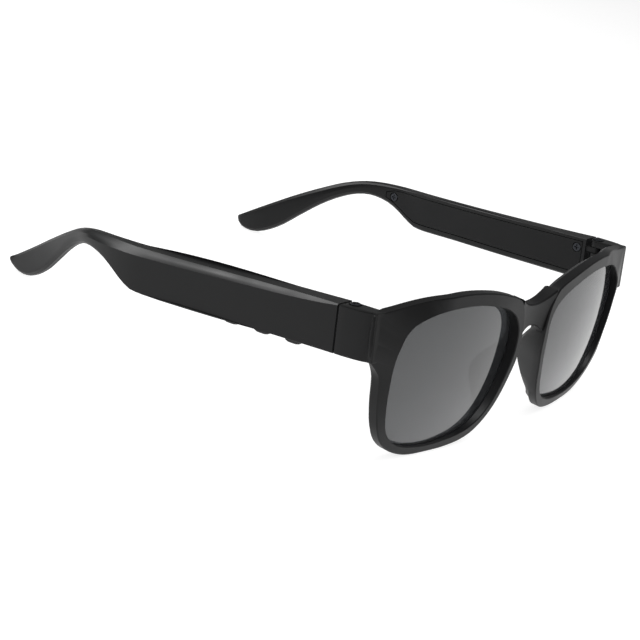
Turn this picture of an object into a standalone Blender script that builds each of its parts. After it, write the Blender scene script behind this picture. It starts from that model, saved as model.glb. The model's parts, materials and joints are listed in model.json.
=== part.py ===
"""Audio smart glasses: a moulded front with two sun lenses, and two folding temples
that hold the electronics.

The glasses stand on the floor on the bottoms of the rims and the two ear tips, with +Z up,
the front facing -Y and the wearer's right at -X. Sizes below are in millimetres. The front is
drawn from y = 0 at the bridge backwards, and the datum empty centres the depth on the origin.
Each temple is drawn in the frame of its own hinge: x outwards, y backwards along the temple,
z up the hinge screw, with the origin at the top of the screw's knuckle.
"""

import math

import bmesh
import bpy
import numpy as np
from mathutils import Vector

MM = 0.001
CLEARANCE = 0.3                 # gap between pieces that rest on or fit into each other
DEPTH = 161.416                 # from the bridge to the ends of the ear tips
DATUM_Y = -DEPTH / 2
LEFT, RIGHT = 1, -1             # the wearer's left is +X

# ---- the front's curved face ----
BOW = 0.0022                    # how fast the face curves back from the middle
BOW_EASE = 9.2e-8               # how the curve eases off towards the temples
CROWN = 0.0012                  # the slight crown from top to bottom
CROWN_HEIGHT = 24.0
LEAN = 0.014                    # the lower rim sits this much further back per mm
CHIN = 0.7                      # and this much more at its very bottom
FACE_START = 0.4                # the face's foremost point behind the front's datum
BROW = 0.6                      # the face turns back towards the bridge by this much
BROW_REACH = 10.0
WRAP_DEPTH = 3.0                # extra sweep backwards at the upper outer corners
WRAP_START = 62.0
WRAP_LENGTH = 9.0
WRAP_HEIGHT = 36.0
WRAP_SLANT = 1.33

# ---- rims and lenses ----
RING_CENTRE = (38.0, 25.0)      # point inside the window that the rim is drawn around
RING_STEPS = 112
FRONT_EDGE = 0.35               # small round on the outer front edge
WINDOW_EDGE = 0.25
RIM_DEPTH = 3.7                 # front to back, at the outer edge
FLANGE_DEPTH = 1.4              # the same at the outer corner, where the cove runs behind it
LIP_DEPTH = 0.9                 # rim behind the lens
LENS_RADIUS = 130.0
LENS_THICK = 1.5
LENS_CENTRE = (35.0, 24.0)
LENS_MID_Y = 3.9
LENS_TURN = 0.105               # backwards per mm outwards
LENS_BITE = 0.6                 # how far the lens edge goes into the groove
GROOVE = 0.9

# ---- bridge and nose pads ----
BRIDGE_LOW_HALF, BRIDGE_HIGH_HALF = 7.2, 9.6
BRIDGE_FRONT_Y = 2.5            # the saddle's middle sits back by this much
BRIDGE_BACK_Y = 6.6
BRIDGE_TOP = 41.0
BRIDGE_TOP_RISE = 3.2
BRIDGE_ARCH = 33.8
BRIDGE_ARCH_DROP = 3.4
PAD_LOW, PAD_HIGH = 5.5, 33.0   # the pads grow out of the back of the rims between these
PAD_REACH = 7.6                 # how far a pad stands behind the rim
PAD_SPLAY = 4.0                 # and how far it leans away from the nose on the way back
PAD_ROUND = 1.5

# ---- hinges ----
HINGE = (67.8, 20.9, 45.0)      # top of the knuckle, on the screw's axis
TEMPLE_DROP = math.radians(7)   # the temples run down towards the ears
KNUCKLE_R = 2.4
KNUCKLE_TOP = 2.1               # thickness of the upper knuckle
TONGUE_TOP = 2.4
TONGUE_BOTTOM = 4.0
SLOT_BOTTOM = 4.3
SLOT_DEPTH = 4.2                # the slot's floor, in front of the screw
SEAM = 3.1                      # front face of the temple, behind the screw
WALL_END = 2.8                  # rear end of the end piece's outer wall
WALL_INNER = 2.6                # inner side of that wall, outwards from the screw
END_OUTER = 4.0                 # outer side at the seam, outwards from the screw
END_HEIGHT = 14.2
SCREW_HEAD_R = 1.6
SCREW_SHAFT_R = 0.7
SCREW_HOLE_R = 1.05
SCREW_LENGTH = 6.4

# ---- temples ----
OUTER_WALL = 1.3
COVER_THICK = 1.3
COVER_RECESS = 1.6
COVER_TOP_MARGIN, COVER_BOTTOM_MARGIN = 1.0, 2.0
CAVITY_MARGIN = 1.5
INNER_EDGE = 1.6                # round on the inner lower edge
COVER_FRONT, COVER_REAR = 4.2, 88.0
CAVITY_FRONT, CAVITY_REAR = 9.4, 78.0
COVER_SCREWS = {"front": (6.4, -3.6), "rear": (84.6, -4.9)}
COVER_SCREW_HEAD_R = 1.4
BUTTON_PLACES = {"volume_up": 18.0, "play": 28.8, "volume_down": 39.6}
BUTTON_LENGTH, BUTTON_WIDTH = 6.0, 2.6
BUTTON_PROUD = 1.65
CONTACT_PLACES = {"a": 53.2, "b": 57.2}
GRILLE_PLACE, GRILLE_LENGTH, GRILLE_WIDTH = 69.0, 7.0, 2.0
LIGHT_PLACE = 49.4              # along the temple, behind the rear button
MIC_PLACE = 11.8


# ---------------------------------------------------------------- helpers

def clear_scene():
    for item in list(bpy.data.objects):
        bpy.data.objects.remove(item, do_unlink=True)
    for data in (bpy.data.meshes, bpy.data.materials, bpy.data.collections):
        for item in list(data):
            data.remove(item)


def new_collection(name):
    group = bpy.data.collections.new(name)
    bpy.context.scene.collection.children.link(group)
    return group


def material(name, colour, roughness, metallic=0.0, alpha=1.0):
    made = bpy.data.materials.new(name)
    made.use_nodes = True
    shader = made.node_tree.nodes["Principled BSDF"]
    shader.inputs["Base Color"].default_value = (*colour, 1.0)
    shader.inputs["Roughness"].default_value = roughness
    shader.inputs["Metallic"].default_value = metallic
    shader.inputs["Alpha"].default_value = alpha
    return made


def empty(name, place, tilt=0.0, parent=None):
    made = bpy.data.objects.new(name, None)
    made.location = Vector(place) * MM
    made.rotation_euler = (tilt, 0.0, 0.0)
    made.parent = parent
    PARTS.objects.link(made)
    return made


def make_object(name, bm, finish, parent):
    """Turn a bmesh in millimetres into a part, or into a tool when it has no finish."""
    bmesh.ops.recalc_face_normals(bm, faces=bm.faces)
    bmesh.ops.scale(bm, vec=(MM, MM, MM), verts=bm.verts)
    mesh = bpy.data.meshes.new(name)
    bm.to_mesh(mesh)
    bm.free()
    made = bpy.data.objects.new(name, mesh)
    made.parent = parent
    if finish is None:
        TOOLS.objects.link(made)
        made.hide_render = True
        made.display_type = "WIRE"
    else:
        PARTS.objects.link(made)
        mesh.materials.append(finish)
        mesh.shade_smooth()
        mesh.set_sharp_from_angle(angle=math.radians(30))
    return made


def boolean(target, tool, operation):
    step = target.modifiers.new(f"{operation.lower()}_{tool.name}", "BOOLEAN")
    step.operation = operation
    step.object = tool


def bevel(target, width, segments=2, angle=35.0):
    step = target.modifiers.new("edge_round", "BEVEL")
    step.width = width * MM
    step.segments = segments
    step.limit_method = "ANGLE"
    step.angle_limit = math.radians(angle)


def block(name, low, high, finish, parent):
    low, high = Vector(low), Vector(high)
    bm = bmesh.new()
    bmesh.ops.create_cube(bm, size=1.0)
    bmesh.ops.scale(bm, vec=high - low, verts=bm.verts)
    bmesh.ops.translate(bm, vec=(low + high) / 2, verts=bm.verts)
    return make_object(name, bm, finish, parent)


def loft(sections, closed):
    """Join sections of equal length into a body: a ring when closed, else capped ends."""
    bm = bmesh.new()
    rows = [[bm.verts.new(point) for point in section] for section in sections]
    count = len(rows[0])
    pairs = list(zip(rows, rows[1:]))
    if closed:
        pairs.append((rows[-1], rows[0]))
    for near, far in pairs:
        for i in range(count):
            j = (i + 1) % count
            bm.faces.new((near[i], near[j], far[j], far[i]))
    if not closed:
        bm.faces.new(rows[0])
        bm.faces.new(rows[-1])
    return bm


def turned(name, profile, place, axis, finish, parent, segments=20):
    """A turned body from (radius, height) pairs; its height runs along the axis."""
    sections = []
    for radius, height in profile:
        ring = [(radius * math.cos(a), radius * math.sin(a), height)
                for a in np.linspace(0, 2 * math.pi, segments, endpoint=False)]
        sections.append(ring)
    bm = loft(sections, closed=False)
    turn = Vector((0, 0, 1)).rotation_difference(Vector(axis)).to_matrix()
    bmesh.ops.rotate(bm, cent=(0, 0, 0), matrix=turn, verts=bm.verts)
    bmesh.ops.translate(bm, vec=place, verts=bm.verts)
    return make_object(name, bm, finish, parent)


def smooth_line(knots):
    """A smooth curve value(s) through (s, value) knots."""
    s = np.array([k[0] for k in knots], float)
    v = np.array([k[1] for k in knots], float)
    slope = np.gradient(v, s)

    def value(at):
        at = min(max(at, s[0]), s[-1])
        i = min(int(np.searchsorted(s, at, side="right")) - 1, len(s) - 2)
        span = s[i + 1] - s[i]
        t = (at - s[i]) / span
        return ((2 * t**3 - 3 * t**2 + 1) * v[i] + (t**3 - 2 * t**2 + t) * span * slope[i]
                + (3 * t**2 - 2 * t**3) * v[i + 1] + (t**3 - t**2) * span * slope[i + 1])

    return value


def outline_radius(points, centre):
    """The radius at each angle around the centre of a smooth closed outline."""
    ring = np.array(points, float)
    dense = []
    for i in range(len(ring)):
        a, b, c, d = (ring[(i + k) % len(ring)] for k in (-1, 0, 1, 2))
        for t in np.linspace(0, 1, 12, endpoint=False):
            dense.append(0.5 * (2 * b + (c - a) * t + (2 * a - 5 * b + 4 * c - d) * t**2
                                + (3 * b - 3 * c + d - a) * t**3))
    dense = np.array(dense) - np.array(centre)
    angle = np.arctan2(dense[:, 1], dense[:, 0])
    radius = np.hypot(dense[:, 0], dense[:, 1])
    order = np.argsort(angle)
    return lambda at: float(np.interp(at, angle[order], radius[order], period=2 * math.pi))


# ---------------------------------------------------------------- front

# Window and outer edge of the left eye's rim, seen from the front, from the outer side
# upwards and round over the nose.
WINDOW_POINTS = [(62.1, 25), (62.3, 29.3), (62, 33.7), (60.5, 38), (57.5, 41.4), (53.6, 43.5),
                 (49.5, 44.8), (44, 45.5), (38, 45.8), (32, 45.6), (26.6, 44.8), (22.2, 43.8),
                 (17.2, 42.3), (12.4, 39.4), (9.6, 35), (9.2, 30.1), (9.8, 25), (11, 20.3),
                 (12.6, 15.7), (14.6, 11.4), (17.6, 7.7), (21.4, 5.2), (26, 3.7), (32, 2.9),
                 (38, 2.5), (44, 2.8), (50, 3.9), (54.6, 6), (58, 9.4), (59.8, 13), (60.9, 17),
                 (61.7, 21)]
OUTLINE_POINTS = [(65.4, 24.5), (66.2, 28), (68.2, 30.6), (70.2, 33), (70.8, 37), (70.6, 42),
                  (70.2, 45.4), (67.2, 46), (63, 46.6), (57, 47.7), (51, 48.7), (45, 49.4),
                  (38, 49.7), (31, 49.3), (24.5, 48.4), (19.3, 47.2), (13.6, 45.5), (10.4, 43.9),
                  (8.2, 40.2), (7.1, 35.5), (6.7, 30.4), (7.1, 25), (8.6, 19.8), (10.2, 14.9),
                  (12.4, 10.2), (15.5, 6), (19.4, 2.8), (24.2, 1), (30, 0.2), (35, 0), (42, 0),
                  (47, 0.4), (51.5, 1.6), (55.9, 3.7), (59.6, 6.9), (62.2, 11), (63.7, 15.6),
                  (64.7, 20)]


def face_y(x, z):
    """Depth of the front's face behind the bridge."""
    spread = abs(x)
    wrap = spread - WRAP_START + WRAP_SLANT * max(0.0, z - WRAP_HEIGHT)
    swept = WRAP_DEPTH * (1 - math.exp(-(max(0.0, wrap) / WRAP_LENGTH) ** 1.3))
    chin = CHIN * (max(0.0, CROWN_HEIGHT - z) / CROWN_HEIGHT) ** 2
    brow = min(max((z - 28.0) / 10.0, 0.0), 1.0) * BROW
    brow *= math.exp(-((max(0.0, spread - 8.0) / BROW_REACH) ** 2))
    return (FACE_START + BOW * x**2 - BOW_EASE * x**4 + CROWN * (z - CROWN_HEIGHT) ** 2
            + LEAN * (CROWN_HEIGHT - z) + swept + chin + brow)


def lens_y(x, z):
    """Depth of the lens's front surface."""
    dx, dz = abs(x) - LENS_CENTRE[0], z - LENS_CENTRE[1]
    return LENS_MID_Y + (dx**2 + dz**2) / (2 * LENS_RADIUS) + LENS_TURN * dx


def ring_angles():
    """Even steps around the rim, with extra ones round the upper outer corner."""
    even = np.linspace(-math.pi, math.pi, RING_STEPS, endpoint=False)
    cx, cz = RING_CENTRE
    corner = [math.atan2(z - cz, x - cx) for x, z in ((70.7, 45.0), (70.3, 45.8), (69.4, 46.0))]
    return np.array(sorted(set(np.round(np.concatenate([even, corner]), 5))))


def pad_swell(x, z):
    """The share of the nose pad's full size at a point on the rim's outer edge."""
    along = (z - PAD_LOW) / (PAD_HIGH - PAD_LOW)
    if x > 20 or not 0 < along < 1:
        return 0.0
    return math.sin(math.pi * along) ** 1.1


def rim_section(side, angle, window, outline):
    """The rim's cross-section at one angle, from the window's front edge outwards and round."""
    centre = np.array(RING_CENTRE)
    out = np.array((math.cos(angle), math.sin(angle)))
    inner = centre + out * window(angle)
    outer = centre + out * outline(angle)
    flange = min(max((outer[0] - 66.5) / 3.5, 0.0), 1.0) if outer[1] > 29 else 0.0
    depth = RIM_DEPTH + (FLANGE_DEPTH - RIM_DEPTH) * flange
    swell = pad_swell(*outer)
    front_in, front_out = face_y(*inner), face_y(*outer)
    seat, seat_deep = lens_y(*inner), lens_y(*(inner + out * GROOVE))
    back = LENS_THICK + CLEARANCE / 2
    lip = seat + back + LIP_DEPTH
    back_out = front_out + depth
    if flange == 0:
        back_out = max(back_out, lip - 1.6)
    rear = back_out + PAD_REACH * swell
    lean = PAD_SPLAY * swell
    width = float(np.linalg.norm(outer - inner))
    edge_round = min(0.9 + (PAD_ROUND - 0.9) * swell, 0.4 * width, 0.45 * depth)
    stations = [
        (WINDOW_EDGE, front_in), (width - FRONT_EDGE, front_out),
        (width, front_out + FRONT_EDGE), (width - 0.1 * lean, back_out - edge_round),
        (width - 0.85 * lean - 0.3 * edge_round, rear - edge_round),
        (width - lean - edge_round, rear),
        (GROOVE + 0.3 * (width - GROOVE) - lean, max(lip, rear - 0.5 * swell)),
        (0.3 - 0.4 * lean, lip + 0.25 * (rear - back_out)), (0.0, lip - 0.3),
        (0.0, seat + back), (GROOVE, seat_deep + back),
        (GROOVE, seat_deep - CLEARANCE / 2), (0.0, seat - CLEARANCE / 2),
        (0.0, front_in + WINDOW_EDGE),
    ]
    return [(side * (inner[0] + out[0] * s), y, max(0.0, inner[1] + out[1] * s))
            for s, y in stations]


def rim(side, name, finish):
    window = outline_radius(WINDOW_POINTS, RING_CENTRE)
    outline = outline_radius(OUTLINE_POINTS, RING_CENTRE)
    sections = [rim_section(side, angle, window, outline) for angle in ring_angles()]
    return make_object(name, loft(sections, closed=True), finish, DATUM)


def bridge():
    """The saddle between the rims: scooped in front, dipping on top, arched over the nose."""
    edge = 0.4
    sections = []
    for across in np.linspace(-1.0, 1.0, 17):
        front = BRIDGE_FRONT_Y - 1.0 * across**2
        top = BRIDGE_TOP + BRIDGE_TOP_RISE * across**2
        bottom = BRIDGE_ARCH - BRIDGE_ARCH_DROP * abs(across) ** 2.2
        profile = [(front, bottom + edge), (front, top - edge), (front + edge, top),
                   (BRIDGE_BACK_Y - 1.2, top), (BRIDGE_BACK_Y - 0.3, top - 0.4),
                   (BRIDGE_BACK_Y, top - 1.3), (BRIDGE_BACK_Y, bottom + 3.8),
                   (BRIDGE_BACK_Y - 0.8, bottom + 2.0), (BRIDGE_BACK_Y - 2.0, bottom + 0.6),
                   (BRIDGE_BACK_Y - 3.2, bottom), (front + edge, bottom)]
        section = []
        for y, z in profile:
            rise = min(max((z - BRIDGE_ARCH) / (BRIDGE_TOP - BRIDGE_ARCH), 0.0), 1.0)
            half = BRIDGE_LOW_HALF + (BRIDGE_HIGH_HALF - BRIDGE_LOW_HALF) * rise
            section.append((across * half, y, z))
        sections.append(section)
    return make_object("bridge", loft(sections, closed=False), None, DATUM)


def end_piece(side):
    """The block behind each outer corner, with the knuckles and the slot for the tongue."""
    hinge = HINGES[side]
    inner = -KNUCKLE_R
    plan = [(inner, -9.6), (inner, 0.0)]
    plan += [(KNUCKLE_R * math.cos(a), KNUCKLE_R * math.sin(a))
             for a in np.linspace(math.pi, math.pi / 2, 7)[1:]]
    plan += [(1.6, 2.45), (WALL_INNER - 0.6, WALL_END), (END_OUTER, WALL_END),
             (END_OUTER - 0.1, 0.0), (END_OUTER - 0.5, -3.5), (END_OUTER - 1.0, -6.0),
             (END_OUTER - 1.6, -7.3), (END_OUTER - 1.7, -8.2), (END_OUTER - 1.4, -9.2)]
    levels = (-END_HEIGHT, 0.0)
    sections = [[(side * x, y, z) for x, y in plan] for z in levels]
    body = make_object(f"end_piece_{side}", loft(sections, closed=False), None, hinge)
    bevel(body, 0.5, 2, 50)
    return body


def end_piece_cuts(side):
    hinge = HINGES[side]
    slot = block(f"tongue_slot_{side}",
                 (min(side * -9, side * WALL_INNER), -SLOT_DEPTH, -SLOT_BOTTOM),
                 (max(side * -9, side * WALL_INNER), 9.0, -KNUCKLE_TOP), None, hinge)
    hole = turned(f"screw_hole_{side}",
                  [(SCREW_HOLE_R, -SCREW_LENGTH - CLEARANCE), (SCREW_HOLE_R, -0.9),
                   (SCREW_HEAD_R + CLEARANCE, -0.9), (SCREW_HEAD_R + CLEARANCE, 1.0)],
                  (0, 0, 0), (0, 0, 1), None, hinge)
    return slot, hole


def front_frame(finish):
    """One moulding: two rims, the bridge, the nose pads and the two end pieces."""
    frame = rim(LEFT, "front_frame", finish)
    boolean(frame, rim(RIGHT, "rim_right", None), "UNION")
    boolean(frame, bridge(), "UNION")
    for side in (LEFT, RIGHT):
        boolean(frame, end_piece(side), "UNION")
        for cutter in end_piece_cuts(side):
            boolean(frame, cutter, "DIFFERENCE")
    return frame


def lens(side, name, finish):
    window = outline_radius(WINDOW_POINTS, RING_CENTRE)
    cx, cz = RING_CENTRE
    angles = np.linspace(-math.pi, math.pi, 48, endpoint=False)

    def ring(scale, back):
        points = []
        for angle in angles:
            r = (window(angle) + LENS_BITE) * scale
            x, z = cx + r * math.cos(angle), cz + r * math.sin(angle)
            points.append((side * x, lens_y(x, z) + back, z))
        return points

    scales = (0.35, 0.75)
    edge = 1.0 - 0.004
    sections = [ring(s, 0.0) for s in scales] + [ring(edge, 0.0), ring(1.0, 0.15)]
    sections += [ring(1.0, LENS_THICK - 0.15), ring(edge, LENS_THICK)]
    sections += [ring(s, LENS_THICK) for s in reversed(scales)]
    return make_object(name, loft(sections, closed=False), finish, DATUM)


def phillips_screw(name, head_r, shaft_r, length, proud, place, axis, finish, parent):
    """A domed screw with a cross recess; place is where its seat meets the axis."""
    seat = 0.55
    screw = turned(name, [(shaft_r * 0.6, -length), (shaft_r, -length + 0.4), (shaft_r, -seat),
                          (head_r, -seat), (head_r, proud * 0.35), (head_r * 0.72, proud * 0.8),
                          (head_r * 0.3, proud)], place, axis, finish, parent, segments=14)
    turn = Vector((0, 0, 1)).rotation_difference(Vector(axis)).to_matrix()
    for arm in (0, 1):
        half = Vector((head_r * 0.62, 0.22)) if arm == 0 else Vector((0.22, head_r * 0.62))
        bm = bmesh.new()
        bmesh.ops.create_cube(bm, size=1.0)
        bmesh.ops.scale(bm, vec=(2 * half[0], 2 * half[1], 1.2), verts=bm.verts)
        bmesh.ops.translate(bm, vec=(0, 0, proud - 0.5 + 0.6), verts=bm.verts)
        bmesh.ops.rotate(bm, cent=(0, 0, 0), matrix=turn, verts=bm.verts)
        bmesh.ops.translate(bm, vec=place, verts=bm.verts)
        boolean(screw, make_object(f"{name}_recess_{arm}", bm, None, parent), "DIFFERENCE")
    return screw


# ---------------------------------------------------------------- temples

# Along the temple: y behind the hinge screw, then the size there.
OUTER_X = smooth_line([(2, 4.0), (40, 6.2), (68, 8.1), (77, 8.6), (84, 8.3), (91, 7.1), (98, 5.0),
                       (105, 2.0), (113, -1.4), (122, -4.6), (132, -7.1), (140, -8.5), (144, -9.0)])
TOP_Z = smooth_line([(2, 0.0), (30, -0.7), (60, -1.3), (75, -1.4), (85, -1.2), (92, -1.3),
                     (98, -1.9), (105, -3.7), (112, -6.7), (122, -11.6), (134, -18.1),
                     (144, -23.6)])
BOTTOM_Z = smooth_line([(2, -14.2), (30, -14.1), (60, -14.1), (71, -14.3), (75, -14.0),
                        (78.5, -12.5), (83, -9.9), (87, -8.0), (91, -6.9), (96, -6.4),
                        (101, -7.3), (106, -9.4), (112, -13.0), (119, -18.4), (126, -23.9),
                        (132, -27.1), (136, -28.3), (139.5, -28.2), (141.8, -27.5),
                        (143.3, -26.3), (144, -25.0)])
THICKNESS = smooth_line([(2, 6.7), (60, 6.7), (76, 6.3), (90, 5.6), (104, 5.0), (125, 4.6),
                         (140, 4.3), (143, 3.7), (144, 2.8)])
CHAMFER = smooth_line([(2, 0.3), (8, 0.9), (18, 1.6), (32, 2.1), (76, 2.3), (90, 2.0), (144, 1.8)])
ROUNDING = smooth_line([(2, 0.0), (78, 0.0), (92, 0.55), (104, 1.0), (144, 1.0)])


def temple_section(side, y):
    """Cross-section: flat faces and a long bevel in front, turning oval round the ear."""
    outer, top, bottom = OUTER_X(y), TOP_Z(y), BOTTOM_Z(y)
    thick, soft = THICKNESS(y), ROUNDING(y)
    tall = top - bottom
    inner = outer - thick
    oval = min(0.48 * thick, 0.45 * tall)
    chamfer = CHAMFER(y)
    corners = [
        ((outer, top), (-1, -1), max(0.15, chamfer + (oval - chamfer) * soft),
         max(0.15, 0.9 * chamfer + (oval - 0.9 * chamfer) * soft), soft),
        ((inner, top), (1, -1), 0.35 + (oval - 0.35) * soft, 0.35 + (oval - 0.35) * soft, 1.0),
        ((inner, bottom), (1, 1), INNER_EDGE + (oval - INNER_EDGE) * soft,
         INNER_EDGE + (oval - INNER_EDGE) * soft, 1.0),
        ((outer, bottom), (-1, 1), 0.5 + (oval - 0.5) * soft, 0.5 + (oval - 0.5) * soft, 1.0),
    ]
    points = []
    for index, ((cx, cz), (sx, sz), rx, rz, bulge) in enumerate(corners):
        for step in range(4):
            t = step / 3 if index % 2 == 0 else 1 - step / 3
            a = t * math.pi / 2
            straight = (cx + sx * rx * t, cz + sz * rz * (1 - t))
            arc = (cx + sx * rx * (1 - math.cos(a)), cz + sz * rz * (1 - math.sin(a)))
            x = straight[0] + (arc[0] - straight[0]) * bulge
            z = straight[1] + (arc[1] - straight[1]) * bulge
            points.append((side * x, y, z))
    return points


def temple_band(name, side, stations, inside, outside, margins, end_margin=0.0, finish=None):
    """A band that follows the temple: between two depths, with margins at bottom and top.

    A band with no finish is a cutter."""
    sections = []
    for y in stations:
        rear = (y - 80.0) / (stations[-1] - 80.0) if y > 80 else 0.0
        top = TOP_Z(y) - margins[1] - end_margin * max(0.0, rear) ** 3
        bottom = BOTTOM_Z(y) + margins[0]
        x_in, x_out = inside(y), outside(y)
        sections.append([(side * x_in, y, bottom), (side * x_out, y, bottom),
                         (side * x_out, y, top), (side * x_in, y, top)])
    return make_object(name, loft(sections, closed=False), finish, HINGES[side])


def inner_x(y):
    return OUTER_X(y) - THICKNESS(y)


def stations(first, last, step):
    return list(np.linspace(first, last, max(2, int(round((last - first) / step)) + 1)))


def tongue(side):
    """The bar on the temple that the hinge screw passes through."""
    r = KNUCKLE_R - 0.2
    plan = [(r * math.cos(a), r * math.sin(a)) for a in np.linspace(math.pi, 2 * math.pi, 13)]
    plan += [(r, SEAM + 1.5), (-r, SEAM + 1.5)]
    sections = [[(side * x, y, -z) for x, y in plan] for z in (TONGUE_BOTTOM, TONGUE_TOP)]
    return make_object(f"tongue_{side}", loft(sections, closed=False), None, HINGES[side])


def floor_slot(name, side, y, length, width):
    """A slot through the temple's bottom wall, in the middle of the cavity."""
    middle = side * cavity_middle(y)
    return block(name, (middle - width / 2, y - length / 2, BOTTOM_Z(y) - 1.0),
                 (middle + width / 2, y + length / 2, BOTTOM_Z(y) + CAVITY_MARGIN + 0.5), None,
                 HINGES[side])


def cavity_middle(y):
    """Halfway between the outer wall and the cover, outwards from the screw."""
    return (OUTER_X(y) - OUTER_WALL + inner_x(y) + COVER_RECESS) / 2


def temple_shell(side, name, finish):
    """Outer moulding of the temple, from the hinge tongue to the ear tip."""
    places = [SEAM] + stations(8.0, 70.0, 6.2) + stations(72.5, 97.5, 2.5)
    places += stations(100.0, 137.5, 2.5) + [139.8, 141.8, 143.2, 144.0]
    body = loft([temple_section(side, y) for y in places], closed=False)
    shell = make_object(name, body, finish, HINGES[side])
    boolean(shell, tongue(side), "UNION")
    recess = temple_band(f"cover_recess_{side}", side,
                         stations(COVER_FRONT, 72.0, 9.0) + stations(75.0, COVER_REAR, 3.0),
                         lambda y: inner_x(y) - 3.0, lambda y: inner_x(y) + COVER_RECESS,
                         (COVER_BOTTOM_MARGIN, COVER_TOP_MARGIN), 1.2)
    cavity = temple_band(f"cavity_{side}", side,
                         stations(CAVITY_FRONT, 72.0, 9.0) + stations(75.0, CAVITY_REAR, 3.0),
                         lambda y: inner_x(y) + 1.0, lambda y: OUTER_X(y) - OUTER_WALL,
                         (CAVITY_MARGIN, CAVITY_MARGIN))
    cutters = [recess, cavity]
    cutters.append(turned(f"tongue_hole_{side}", [(SCREW_HOLE_R, -6.0), (SCREW_HOLE_R, 0.0)],
                          (0, 0, 0), (0, 0, 1), None, HINGES[side]))
    for end, (y, z) in COVER_SCREWS.items():
        cutters.append(turned(f"boss_{end}_{side}", [(1.0, -4.2), (1.0, 0.0)],
                              (side * inner_x(y), y, z), (-side, 0, 0), None, HINGES[side]))
    if side == RIGHT:
        for key, y in BUTTON_PLACES.items():
            cutters.append(floor_slot(f"{key}_slot", side, y, BUTTON_LENGTH + 2 * CLEARANCE,
                                      BUTTON_WIDTH + 2 * CLEARANCE))
        cutters.append(light_hole(side))
    for key, y in CONTACT_PLACES.items():
        place = (side * cavity_middle(y), y, BOTTOM_Z(y) - 1.0)
        cutters.append(turned(f"contact_hole_{key}_{side}", [(1.15, 0.0), (1.15, 3.2)], place,
                              (0, 0, 1), None, HINGES[side]))
    cutters.append(floor_slot(f"sound_outlet_{side}", side, GRILLE_PLACE, GRILLE_LENGTH + 0.6,
                              GRILLE_WIDTH + 0.6))
    cutters.append(turned(f"mic_hole_{side}", [(0.5, 0.0), (0.5, 3.2)],
                          (side * cavity_middle(MIC_PLACE), MIC_PLACE, BOTTOM_Z(MIC_PLACE) - 1.0),
                          (0, 0, 1), None, HINGES[side], segments=10))
    for cutter in cutters:
        boolean(shell, cutter, "DIFFERENCE")
    return shell


def temple_cover(side, name, finish):
    """The inner panel, held in its recess by a screw at each end."""
    places = stations(COVER_FRONT + CLEARANCE, 72.0, 9.0)
    places += stations(75.0, COVER_REAR - CLEARANCE, 3.0)
    cover = temple_band(name, side, places, inner_x, lambda y: inner_x(y) + COVER_THICK,
                        (COVER_BOTTOM_MARGIN + CLEARANCE, COVER_TOP_MARGIN + CLEARANCE),
                        1.2, finish)
    for end, (y, z) in COVER_SCREWS.items():
        place = (side * inner_x(y), y, z)
        hole = turned(f"cover_hole_{end}_{side}",
                      [(1.0, -3.0), (1.0, -0.75), (COVER_SCREW_HEAD_R + CLEARANCE, -0.75),
                       (COVER_SCREW_HEAD_R + CLEARANCE, 1.0)], place, (-side, 0, 0), None,
                      HINGES[side])
        boolean(cover, hole, "DIFFERENCE")
    return cover


def along_temple(name, side, y, length, z_low, z_high, x_from, x_to, finish):
    """A block that lies along the temple; x is measured outwards from the cover's back."""
    base = inner_x(y) + COVER_RECESS
    slope = math.atan2(OUTER_X(y + 5) - OUTER_X(y - 5), 10.0)
    bm = bmesh.new()
    bmesh.ops.create_cube(bm, size=1.0)
    bmesh.ops.scale(bm, vec=(x_to - x_from, length, z_high - z_low), verts=bm.verts)
    made = make_object(name, bm, finish, HINGES[side])
    middle = Vector((side * (base + (x_from + x_to) / 2), y, (z_low + z_high) / 2))
    made.location = middle * MM
    made.rotation_euler = (0.0, 0.0, -side * slope)
    return made


def button_key(key, y, finish):
    """A sliding key: it stands proud of the bottom wall, and its flange stays inside."""
    low = BOTTOM_Z(y) - BUTTON_PROUD
    ledge = BOTTOM_Z(y) + CAVITY_MARGIN + CLEARANCE
    slide = empty(f"{key}_slide", (-cavity_middle(y), y, 0.0), parent=HINGES[RIGHT])
    sections = []
    for z, length, width in ((low, 2.6, 1.4), (low + 0.2, 4.2, 2.0), (low + 0.6, 5.4, 2.4),
                             (low + 1.2, BUTTON_LENGTH, BUTTON_WIDTH),
                             (ledge, BUTTON_LENGTH, BUTTON_WIDTH), (ledge, 7.6, 3.1),
                             (ledge + 0.5, 7.6, 3.1)):
        l, w = length / 2, width / 2
        c = min(0.5, w * 0.6)
        sections.append([(-w, -l + c, z), (-w + c, -l, z), (w - c, -l, z), (w, -l + c, z),
                         (w, l - c, z), (w - c, l, z), (-w + c, l, z), (-w, l - c, z)])
    return make_object(f"{key}_key", loft(sections, closed=False), finish, slide)


def key_switch(key, y, finish):
    """The small push switch above each key, with its plunger pointing down."""
    top_of_key = BOTTOM_Z(y) + CAVITY_MARGIN + CLEARANCE + 0.5
    plunger = top_of_key + 0.45
    made = along_temple(f"{key}_switch", RIGHT, y, 3.0, plunger + 0.3, plunger + 1.3, 0.6, 3.2, finish)
    stem = turned(f"{key}_stem", [(0.6, 0.0), (0.6, 0.5)],
                  (-(inner_x(y) + COVER_RECESS + 1.9), y, plunger), (0, 0, 1), None, HINGES[RIGHT], 10)
    boolean(made, stem, "UNION")
    return made


def light_hole(side):
    y = LIGHT_PLACE
    return turned("light_hole", [(0.9, 0.0), (0.9, 3.2)],
                  (side * cavity_middle(y), y, BOTTOM_Z(y) - 1.0), (0, 0, 1), None, HINGES[side], 10)


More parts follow.
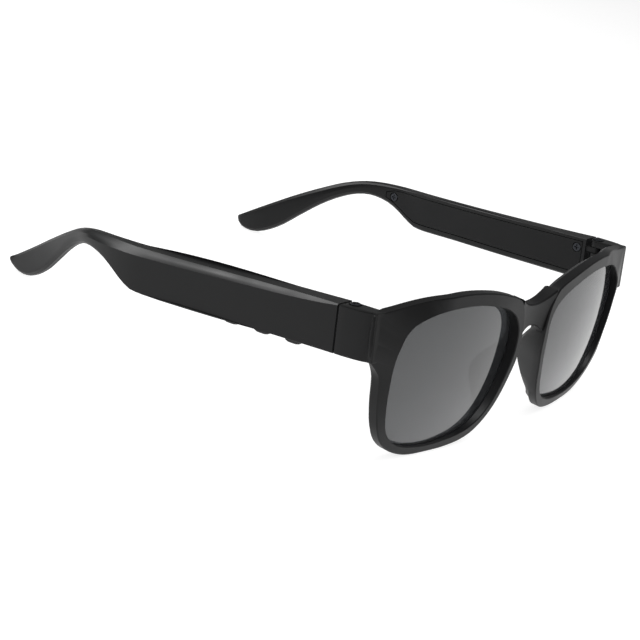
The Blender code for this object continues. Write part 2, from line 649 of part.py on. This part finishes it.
def electronics(side, word, finish):
    """What a temple holds: board, chip, microphone, cell, speaker, contacts and magnet."""
    along_temple(f"circuit_board_{word}", side, 24.0, 26.0, -9.0, -3.0, 2.6, 3.3, finish["board"])
    along_temple(f"processor_{word}", side, 26.0, 6.5, -8.4, -3.6, 1.2, 2.3, finish["chip"])
    along_temple(f"microphone_{word}", side, MIC_PLACE, 2.6, -12.2, -11.2, 0.6, 2.8, finish["chip"])
    cell = along_temple(f"battery_{word}", side, 54.6, 17.0, -10.8, -3.0, 0.4, 3.3, finish["cell"])
    bevel(cell, 0.8, 2)
    driver = along_temple(f"speaker_{word}", side, 70.5, 11.0, -11.2, -3.4, 0.3, 3.3, finish["speaker"])
    bevel(driver, 0.6, 2)
    along_temple(f"magnet_{word}", side, 62.4, 4.0, -12.5, -11.3, 0.7, 2.9, finish["magnet"])
    for key, y in CONTACT_PLACES.items():
        turned(f"charge_contact_{key}_{word}",
               [(0.7, 0.1), (0.85, 0.25), (0.85, 2.3), (0.5, 2.6)],
               (side * cavity_middle(y), y, BOTTOM_Z(y)), (0, 0, 1), finish["contact"],
               HINGES[side], segments=14)
    grille = block(f"sound_grille_{word}",
                   (side * cavity_middle(GRILLE_PLACE) - GRILLE_WIDTH / 2,
                    GRILLE_PLACE - GRILLE_LENGTH / 2, BOTTOM_Z(GRILLE_PLACE) + 0.3),
                   (side * cavity_middle(GRILLE_PLACE) + GRILLE_WIDTH / 2,
                    GRILLE_PLACE + GRILLE_LENGTH / 2, BOTTOM_Z(GRILLE_PLACE) + 1.1),
                   finish["grille"], HINGES[side])
    return grille


def temple(side, word, finish):
    temple_shell(side, f"temple_shell_{word}", finish["plastic"])
    temple_cover(side, f"temple_cover_{word}", finish["cover"])
    for end, (y, z) in COVER_SCREWS.items():
        place = (side * inner_x(y), y, z)
        phillips_screw(f"cover_screw_{end}_{word}", COVER_SCREW_HEAD_R, 0.65, 3.8, 0.0, place,
                       (-side, 0, 0), finish["screw"], HINGES[side])
    electronics(side, word, finish)


def right_hand_controls(finish):
    """The three keys under the right temple, their switches, and the status light."""
    for key, y in BUTTON_PLACES.items():
        button_key(key, y, finish["key"])
        key_switch(key, y, finish["chip"])
    along_temple("switch_board", RIGHT, 30.0, 31.0, -9.5, -9.2, 0.6, 3.3, finish["board"])
    y = LIGHT_PLACE
    turned("status_light", [(0.6, 0.1), (0.6, 2.4)], (-cavity_middle(y), y, BOTTOM_Z(y)), (0, 0, 1),
           finish["light"], HINGES[RIGHT], 10)


# ---------------------------------------------------------------- build

clear_scene()
PARTS = new_collection("smart_glasses")
TOOLS = new_collection("cutters")
DATUM = empty("glasses_datum", (0.0, DATUM_Y, 0.0))
HINGES = {side: empty(f"hinge_{word}", (side * HINGE[0], HINGE[1], HINGE[2]), -TEMPLE_DROP, DATUM)
          for side, word in ((LEFT, "left"), (RIGHT, "right"))}

FINISH = {
    "plastic": material("satin_black_plastic", (0.018, 0.018, 0.018), 0.42),
    "cover": material("cover_plastic", (0.022, 0.022, 0.022), 0.5),
    "key": material("key_plastic", (0.015, 0.015, 0.015), 0.5),
    "lens": material("smoked_lens", (0.12, 0.12, 0.12), 0.06, alpha=0.6),
    "screw": material("black_steel", (0.05, 0.05, 0.05), 0.35, metallic=1.0),
    "board": material("circuit_board", (0.01, 0.05, 0.03), 0.5),
    "chip": material("chip_resin", (0.02, 0.02, 0.02), 0.6),
    "cell": material("cell_foil", (0.5, 0.5, 0.52), 0.35, metallic=1.0),
    "speaker": material("speaker_can", (0.25, 0.25, 0.26), 0.4, metallic=1.0),
    "magnet": material("magnet_nickel", (0.6, 0.6, 0.62), 0.25, metallic=1.0),
    "contact": material("contact_gold", (0.8, 0.55, 0.2), 0.25, metallic=1.0),
    "grille": material("grille_mesh", (0.03, 0.03, 0.03), 0.6),
    "light": material("light_pipe", (0.7, 0.7, 0.7), 0.3),
}

front_frame(FINISH["plastic"])
for SIDE, WORD in ((LEFT, "left"), (RIGHT, "right")):
    lens(SIDE, f"lens_{WORD}", FINISH["lens"])
    phillips_screw(f"hinge_screw_{WORD}", SCREW_HEAD_R, SCREW_SHAFT_R, SCREW_LENGTH, 0.55, (0, 0, 0),
                   (0, 0, 1), FINISH["screw"], HINGES[SIDE])
    temple(SIDE, WORD, FINISH)
right_hand_controls(FINISH)
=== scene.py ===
"""Looks for a pair of audio sunglasses: a satin black moulded front with two smoked lenses and
two folding temples that hold the electronics. Sizes are in metres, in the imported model's frame."""

import json
import math

import bmesh
import bpy
import numpy as np
from mathutils import Matrix, Vector

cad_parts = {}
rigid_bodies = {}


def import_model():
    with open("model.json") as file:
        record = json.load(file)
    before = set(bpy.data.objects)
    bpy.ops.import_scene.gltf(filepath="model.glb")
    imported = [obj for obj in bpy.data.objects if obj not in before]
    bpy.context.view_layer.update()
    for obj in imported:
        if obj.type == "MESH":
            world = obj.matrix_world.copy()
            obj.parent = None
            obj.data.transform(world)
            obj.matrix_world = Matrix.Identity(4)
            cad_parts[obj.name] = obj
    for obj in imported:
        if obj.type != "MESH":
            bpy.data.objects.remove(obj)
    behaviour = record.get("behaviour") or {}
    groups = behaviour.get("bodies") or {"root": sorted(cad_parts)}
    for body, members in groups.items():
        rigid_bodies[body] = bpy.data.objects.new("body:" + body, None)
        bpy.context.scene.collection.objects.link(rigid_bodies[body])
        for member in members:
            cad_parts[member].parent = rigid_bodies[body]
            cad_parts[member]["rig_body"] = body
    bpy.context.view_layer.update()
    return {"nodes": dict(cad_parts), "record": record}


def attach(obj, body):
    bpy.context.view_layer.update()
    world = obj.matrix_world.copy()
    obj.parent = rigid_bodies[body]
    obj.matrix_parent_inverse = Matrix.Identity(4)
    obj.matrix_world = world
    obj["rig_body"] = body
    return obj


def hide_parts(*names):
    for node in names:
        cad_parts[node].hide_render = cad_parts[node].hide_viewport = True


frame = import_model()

MM = 0.001

# ---- the camera ----
CAMERA_PLACE = Vector((-0.443, -0.3017, 0.207))
CAMERA_TURN = math.radians(-56.1)      # round the object, from straight in front
CAMERA_RISE = math.radians(20.7)
CAMERA_ROLL = math.radians(12.7)
CAMERA_LENS = 98.66


def linear(colour):
    """An sRGB hex colour as linear light."""
    parts = [int(colour[i:i + 2], 16) / 255 for i in (1, 3, 5)]
    parts = [p / 12.92 if p <= 0.04045 else ((p + 0.055) / 1.055) ** 2.4 for p in parts]
    return (*parts, 1.0)


def per_metre(size_mm):
    """The texture scale whose features are about this many millimetres apart."""
    return 1.0 / (size_mm * MM)


def node(tree, kind, settings=(), links=()):
    """Adds a node, sets its properties and sockets, and feeds its inputs."""
    made = tree.nodes.new(kind)
    for name, value in dict(settings).items():
        if name in made.inputs:
            made.inputs[name].default_value = value
        else:
            setattr(made, name, value)
    for name, source in dict(links).items():
        tree.links.new(source, made.inputs[name])
    return made


def new_material(name):
    """An empty material with its output, its shader and the place on the object."""
    made = bpy.data.materials.new(name)
    made.use_nodes = True
    tree = made.node_tree
    tree.nodes.clear()
    place = node(tree, "ShaderNodeTexCoord").outputs["Object"]
    shader = node(tree, "ShaderNodeBsdfPrincipled")
    node(tree, "ShaderNodeOutputMaterial", links={"Surface": shader.outputs["BSDF"]})
    return made, tree, place, shader


def set_shader(shader, **values):
    """Constants that belong on the shader's own sockets."""
    for name, value in values.items():
        shader.inputs[name.replace("_", " ")].default_value = value


def two_tone(tree, shader, factor, low, high):
    """Colour that moves between two tones."""
    ramp = node(tree, "ShaderNodeMix", {"data_type": "RGBA"})
    tree.links.new(factor, ramp.inputs[0])
    ramp.inputs[6].default_value = linear(low)
    ramp.inputs[7].default_value = linear(high)
    tree.links.new(ramp.outputs[2], shader.inputs["Base Color"])


def vary_roughness(tree, shader, factor, low, high):
    """Roughness that moves between two values."""
    spread = node(tree, "ShaderNodeMapRange", {"From Min": 0.3, "From Max": 0.7,
                                               "To Min": low, "To Max": high},
                  {"Value": factor})
    tree.links.new(spread.outputs["Result"], shader.inputs["Roughness"])


def add_relief(tree, shader, height, depth_mm, strength=1.0):
    """Fine relief of a real depth on the surface."""
    bump = node(tree, "ShaderNodeBump", {"Strength": strength, "Distance": depth_mm * MM},
                {"Height": height})
    tree.links.new(bump.outputs["Normal"], shader.inputs["Normal"])


def moulded_plastic(name, dark, light, smooth, rough, grain_mm=0.32, depth_mm=0.010,
                    gloss=0.22):
    """Black plastic from a spark-eroded tool: an even satin with a fine leathery grain that
    softens every highlight, and slow changes in gloss across the surface."""
    made, tree, place, shader = new_material(name)
    grain = node(tree, "ShaderNodeTexNoise", {"Scale": per_metre(grain_mm), "Detail": 3.0,
                                              "Roughness": 0.55}, {"Vector": place})
    flow = node(tree, "ShaderNodeTexNoise", {"Scale": per_metre(14.0), "Detail": 2.0},
                {"Vector": place})
    two_tone(tree, shader, flow.outputs["Fac"], dark, light)
    vary_roughness(tree, shader, flow.outputs["Fac"], smooth, rough)
    add_relief(tree, shader, grain.outputs["Fac"], depth_mm)
    set_shader(shader, IOR=1.53, Specular_IOR_Level=gloss)
    return made


def smoked_polycarbonate():
    """Cast-tinted polycarbonate with a hard coat: a neutral grey seen right through, a little
    lighter towards the bottom, with a crisp coat gloss that is broken by faint polish waves."""
    made, tree, place, shader = new_material("smoked_polycarbonate")
    height = node(tree, "ShaderNodeSeparateXYZ", links={"Vector": place})
    fade = node(tree, "ShaderNodeMapRange", {"From Min": 0.002, "From Max": 0.046},
                {"Value": height.outputs["Z"]})
    two_tone(tree, shader, fade.outputs["Result"], "#505153", "#3e4042")
    polish = node(tree, "ShaderNodeTexNoise", {"Scale": per_metre(22.0), "Detail": 1.0},
                  {"Vector": place})
    add_relief(tree, shader, polish.outputs["Fac"], 0.02, 0.25)
    set_shader(shader, Roughness=0.06, IOR=1.586, Transmission_Weight=0.65,
               Coat_Weight=0.25, Coat_Roughness=0.04, Coat_IOR=1.5)
    return made


def black_oxide_steel():
    """Hardened steel screws with a black oxide skin: near-black metal with a dull sheen,
    turning marks that run round the head, and a little bare steel showing."""
    made, tree, place, shader = new_material("black_oxide_steel")
    skin = node(tree, "ShaderNodeTexNoise", {"Scale": per_metre(0.5), "Detail": 4.0},
                {"Vector": place})
    two_tone(tree, shader, skin.outputs["Fac"], "#202124", "#4a4c50")
    vary_roughness(tree, shader, skin.outputs["Fac"], 0.28, 0.45)
    add_relief(tree, shader, skin.outputs["Fac"], 0.006)
    set_shader(shader, Metallic=1.0, Anisotropic=0.3)
    return made


def plated(name, dark, light, smooth, rough, grain_mm, anisotropic=0.0):
    """A plated metal skin: bright metal with the fine uneven grain of the plating bath."""
    made, tree, place, shader = new_material(name)
    bath = node(tree, "ShaderNodeTexNoise", {"Scale": per_metre(grain_mm), "Detail": 3.0},
                {"Vector": place})
    two_tone(tree, shader, bath.outputs["Fac"], dark, light)
    vary_roughness(tree, shader, bath.outputs["Fac"], smooth, rough)
    add_relief(tree, shader, bath.outputs["Fac"], 0.004)
    set_shader(shader, Metallic=1.0, Anisotropic=anisotropic)
    return made


def glass_fibre_board():
    """Black solder mask over a glass-fibre board: glossy lacquer with the cloth's 0.5 mm weave
    just showing, and copper tracks as slightly raised paler lines."""
    made, tree, place, shader = new_material("glass_fibre_board")
    tracks = node(tree, "ShaderNodeTexBrick", {
        "Scale": 1.0, "Mortar Size": 0.00012, "Brick Width": 4.0 * MM, "Row Height": 0.9 * MM,
        "Color1": linear("#0d2a1c"), "Color2": linear("#10301f"), "Mortar": linear("#3c6a44")},
        {"Vector": place})
    tree.links.new(tracks.outputs["Color"], shader.inputs["Base Color"])
    weave = node(tree, "ShaderNodeTexWave", {"Scale": per_metre(0.5) / 6.28, "Distortion": 0.0},
                 {"Vector": place})
    add_relief(tree, shader, weave.outputs["Fac"], 0.01, 0.6)
    set_shader(shader, Roughness=0.32, IOR=1.55)
    return made


def wire_mesh():
    """Woven acoustic mesh: dark steel wires 0.3 mm apart, with painted shade in the gaps between
    them: the gaps are painted near-black for the darkness seen through them.
    """
    made, tree, place, shader = new_material("woven_steel_mesh")
    holes_and_painted_shade = node(tree, "ShaderNodeTexVoronoi", {"Scale": per_metre(0.3), "Randomness": 0.0},
                 {"Vector": place})
    # painted shade: the gaps of the weave are painted near-black for the darkness behind the mesh;
    # the same pattern also gives the weave its relief
    two_tone(tree, shader, holes_and_painted_shade.outputs["Distance"], "#060607", "#5a5b5e")
    add_relief(tree, shader, holes_and_painted_shade.outputs["Distance"], 0.06)
    set_shader(shader, Metallic=0.8, Roughness=0.4)
    return made


def pouch_foil():
    """Laminated aluminium pouch foil: soft silver with shallow creases 3 mm apart."""
    made, tree, place, shader = new_material("laminated_pouch_foil")
    crease = node(tree, "ShaderNodeTexNoise", {"Scale": per_metre(3.0), "Detail": 4.0,
                                               "Roughness": 0.6}, {"Vector": place})
    two_tone(tree, shader, crease.outputs["Fac"], "#a2a6aa", "#c4c7ca")
    vary_roughness(tree, shader, crease.outputs["Fac"], 0.28, 0.42)
    add_relief(tree, shader, crease.outputs["Fac"], 0.08)
    set_shader(shader, Metallic=0.9)
    return made


def light_guide():
    """Milky acrylic light guide: pale and slightly glowing through, smooth with faint haze."""
    made, tree, place, shader = new_material("milky_acrylic")
    haze = node(tree, "ShaderNodeTexNoise", {"Scale": per_metre(0.4), "Detail": 2.0},
                {"Vector": place})
    two_tone(tree, shader, haze.outputs["Fac"], "#b9bfc4", "#dfe3e6")
    vary_roughness(tree, shader, haze.outputs["Fac"], 0.2, 0.3)
    set_shader(shader, IOR=1.49, Subsurface_Weight=0.3, Subsurface_Scale=0.0005)
    return made


FINISHES = {
    # nylon front and temples: satin black, with soft broad highlights
    "satin_black_plastic": moulded_plastic("spark_grain_black_nylon", "#0b0b0c", "#101112",
                                           0.38, 0.46),
    # nylon covers: a little flatter and more deeply grained than the shells
    "cover_plastic": moulded_plastic("matt_black_nylon", "#0a0a0b", "#0f1011", 0.48, 0.58, 0.4,
                                     0.014),
    # ABS keys: smoother, so they catch the light
    "key_plastic": moulded_plastic("satin_black_abs", "#0c0c0d", "#111213", 0.32, 0.40, 0.28,
                                   0.006),
    "smoked_lens": smoked_polycarbonate(),
    "black_steel": black_oxide_steel(),
    "circuit_board": glass_fibre_board(),
    # epoxy moulding compound of the chips: dull charcoal with a sandy grain
    "chip_resin": moulded_plastic("black_epoxy_resin", "#0f1011", "#17181a", 0.5, 0.6, 0.2,
                                  0.006),
    "cell_foil": pouch_foil(),
    # nickel over stamped steel: grey, with a slight direction from the rolling
    "speaker_can": plated("stamped_nickel_steel", "#8d9094", "#b4b6b9", 0.25, 0.38, 0.8, 0.3),
    # bright nickel: a clean cool mirror with a faint haze
    "magnet_nickel": plated("bright_nickel_plate", "#9a9c9e", "#c6c7c8", 0.15, 0.25, 0.6),
    # hard gold: warm and smooth
    "contact_gold": plated("hard_gold_plate", "#c79a3a", "#e8c873", 0.18, 0.28, 0.3),
    "grille_mesh": wire_mesh(),
    "light_pipe": light_guide(),
}
SLOTS = {part["node"]: part["material_slot"] for part in frame["record"]["subparts"]}

# start of the node's name: edge round in mm, sharpest smooth angle in degrees, bevel steps
FINISHED_COPIES = {
    "front_frame": (0.0, 24.0, 0),
    "temple_shell": (0.0, 20.0, 0),
    "temple_cover": (0.18, 35.0, 2),
    "lens_": (0.0, 40.0, 0),
    "volume_up_key": (0.12, 35.0, 2),
    "play_key": (0.12, 35.0, 2),
    "volume_down_key": (0.12, 35.0, 2),
    "hinge_screw": (0.05, 35.0, 2),
    "cover_screw": (0.05, 35.0, 2),
}
WELD = 2e-6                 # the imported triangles' corners meet within this
FLAT_ENOUGH = math.radians(8.0)
SQUARE_ENOUGH = math.radians(40.0)


def finished_copy(name, edge_mm, crease_degrees, segments):
    """A finished copy of a CAD node: whole skin, softened edges and even shading."""
    bm = bmesh.new()
    bm.from_mesh(frame["nodes"][name].data)
    bmesh.ops.remove_doubles(bm, verts=bm.verts, dist=WELD)
    bmesh.ops.dissolve_degenerate(bm, edges=bm.edges, dist=WELD / 2)
    bmesh.ops.join_triangles(bm, faces=bm.faces, angle_face_threshold=FLAT_ENOUGH,
                             angle_shape_threshold=SQUARE_ENOUGH)
    mesh = bpy.data.meshes.new(f"{name}_finished")
    bm.to_mesh(mesh)
    bm.free()
    packed_normals = mesh.attributes.get("custom_normal")
    if packed_normals:
        mesh.attributes.remove(packed_normals)
    piece = bpy.data.objects.new(f"{name}_finished", mesh)
    bpy.context.scene.collection.objects.link(piece)
    mesh.shade_smooth()
    mesh.set_sharp_from_angle(angle=math.radians(crease_degrees))
    if edge_mm:
        soft = piece.modifiers.new("soft_edges", "BEVEL")
        soft.width = edge_mm * MM
        soft.segments = segments
        soft.limit_method = "ANGLE"
        soft.angle_limit = math.radians(crease_degrees)
    even = piece.modifiers.new("even_shading", "WEIGHTED_NORMAL")
    even.keep_sharp = True
    mesh.materials.append(FINISHES[SLOTS[name]])
    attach(piece, frame["nodes"][name]["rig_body"])
    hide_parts(name)
    return piece


def even_lens(piece):
    """Gives both faces of a lens the unbroken normals of one gently curved sheet."""
    mesh = piece.data
    place = np.array([v.co for v in mesh.vertices], float)
    front = np.array([v.normal.y < 0 for v in mesh.vertices])
    x, z = (place[:, i] - place[:, i].mean() for i in (0, 2))
    terms = np.stack([np.ones_like(x), x, z, x * x, x * z, z * z, x ** 3, z ** 3], axis=1)
    fit = np.linalg.lstsq(terms[front], place[front, 1], rcond=None)[0]
    along_x = fit[1] + 2 * fit[3] * x + fit[4] * z + 3 * fit[6] * x * x
    along_z = fit[2] + fit[4] * x + 2 * fit[5] * z + 3 * fit[7] * z * z
    facing = np.stack([along_x, -np.ones_like(x), along_z], axis=1)
    facing /= np.linalg.norm(facing, axis=1)[:, None]
    facing[~front] *= -1
    piece.modifiers.clear()
    mesh.shade_smooth()
    mesh.normals_split_custom_set_from_vertices([tuple(n) for n in facing])


def finish_pieces():
    """What shows gets its finished copy; what is inside takes its material."""
    for name, cad in sorted(frame["nodes"].items()):
        kind = next((k for k in FINISHED_COPIES if name.startswith(k)), None)
        if kind is None:
            cad.data.materials.clear()
            cad.data.materials.append(FINISHES[SLOTS[name]])
            continue
        piece = finished_copy(name, *FINISHED_COPIES[kind])
        if kind == "lens_":
            even_lens(piece)


def studio_floor():
    """A white paper sweep, lit faintly from within so that shadows on it stay soft."""
    bm = bmesh.new()
    bmesh.ops.create_grid(bm, x_segments=8, y_segments=8, size=3.0)
    mesh = bpy.data.meshes.new("studio_floor")
    bm.to_mesh(mesh)
    bm.free()
    floor = bpy.data.objects.new("studio_floor", mesh)
    bpy.context.scene.collection.objects.link(floor)
    made, tree, place, shader = new_material("white_paper_sweep")
    fibre = node(tree, "ShaderNodeTexNoise", {"Scale": per_metre(6.0), "Detail": 2.0},
                 {"Vector": place})
    two_tone(tree, shader, fibre.outputs["Fac"], "#f7f7f7", "#fbfbfb")
    set_shader(shader, Roughness=0.9, Specular_IOR_Level=0.1, Emission_Strength=0.36,
               Emission_Color=linear("#ffffff"))
    mesh.materials.append(made)


def studio_light(name, place, aim, size, power, shadow=True):
    """A soft box that faces a point."""
    lamp = bpy.data.lights.new(name, "AREA")
    lamp.shape = "RECTANGLE"
    lamp.size, lamp.size_y = size
    lamp.energy = power
    lamp.use_shadow = shadow
    holder = bpy.data.objects.new(name, lamp)
    bpy.context.scene.collection.objects.link(holder)
    holder.location = place
    holder.rotation_euler = (Vector(aim) - Vector(place)).to_track_quat("-Z", "Y").to_euler()


def studio():
    """Pale surroundings, a broad top light, a rear light that picks out the temples' long bevels,
    and a low light on the front. The last two cast no shadows, so the floor stays clean."""
    world = bpy.data.worlds.new("white_studio")
    world.use_nodes = True
    tree = world.node_tree
    tree.nodes.clear()
    walls = node(tree, "ShaderNodeBackground", {"Color": linear("#ffffff"), "Strength": 0.25})
    # the backdrop itself is as pale as the far floor, so the two meet without an edge
    sweep = node(tree, "ShaderNodeBackground", {"Color": linear("#ffffff"), "Strength": 0.62})
    seen = node(tree, "ShaderNodeLightPath").outputs["Is Camera Ray"]
    mixed = node(tree, "ShaderNodeMixShader", links={"Fac": seen})
    tree.links.new(walls.outputs["Background"], mixed.inputs[1])
    tree.links.new(sweep.outputs["Background"], mixed.inputs[2])
    node(tree, "ShaderNodeOutputWorld", links={"Surface": mixed.outputs["Shader"]})
    bpy.context.scene.world = world
    studio_light("top_box", (0.25, -0.1, 1.4), (0, 0, 0), (1.2, 1.2), 3.0)
    studio_light("rear_box", (-0.45, 0.85, 1.0), (0, 0, 0.03), (0.42, 0.42), 13.0, False)
    studio_light("front_right_box", (1.0, -1.0, 0.4), (0, 0, 0.03), (0.7, 0.5), 3.0, False)
    bpy.context.scene.view_settings.view_transform = "Standard"


def camera():
    """The camera, set to look down along the wearer's right temple."""
    back = Vector((math.sin(CAMERA_TURN) * math.cos(CAMERA_RISE),
                   -math.cos(CAMERA_TURN) * math.cos(CAMERA_RISE), math.sin(CAMERA_RISE)))
    right = (-back).cross(Vector((0, 0, 1))).normalized()
    up = right.cross(-back)
    across = math.cos(CAMERA_ROLL) * right + math.sin(CAMERA_ROLL) * up
    above = -math.sin(CAMERA_ROLL) * right + math.cos(CAMERA_ROLL) * up
    lens = bpy.data.cameras.new("studio_camera")
    lens.lens = CAMERA_LENS
    lens.sensor_width = 36.0
    lens.clip_start = 0.01
    made = bpy.data.objects.new("studio_camera", lens)
    bpy.context.scene.collection.objects.link(made)
    turned = Matrix((across, above, back)).transposed()
    made.matrix_world = Matrix.Translation(CAMERA_PLACE) @ turned.to_4x4()
    bpy.context.scene.camera = made


camera()
studio()
studio_floor()
finish_pieces()
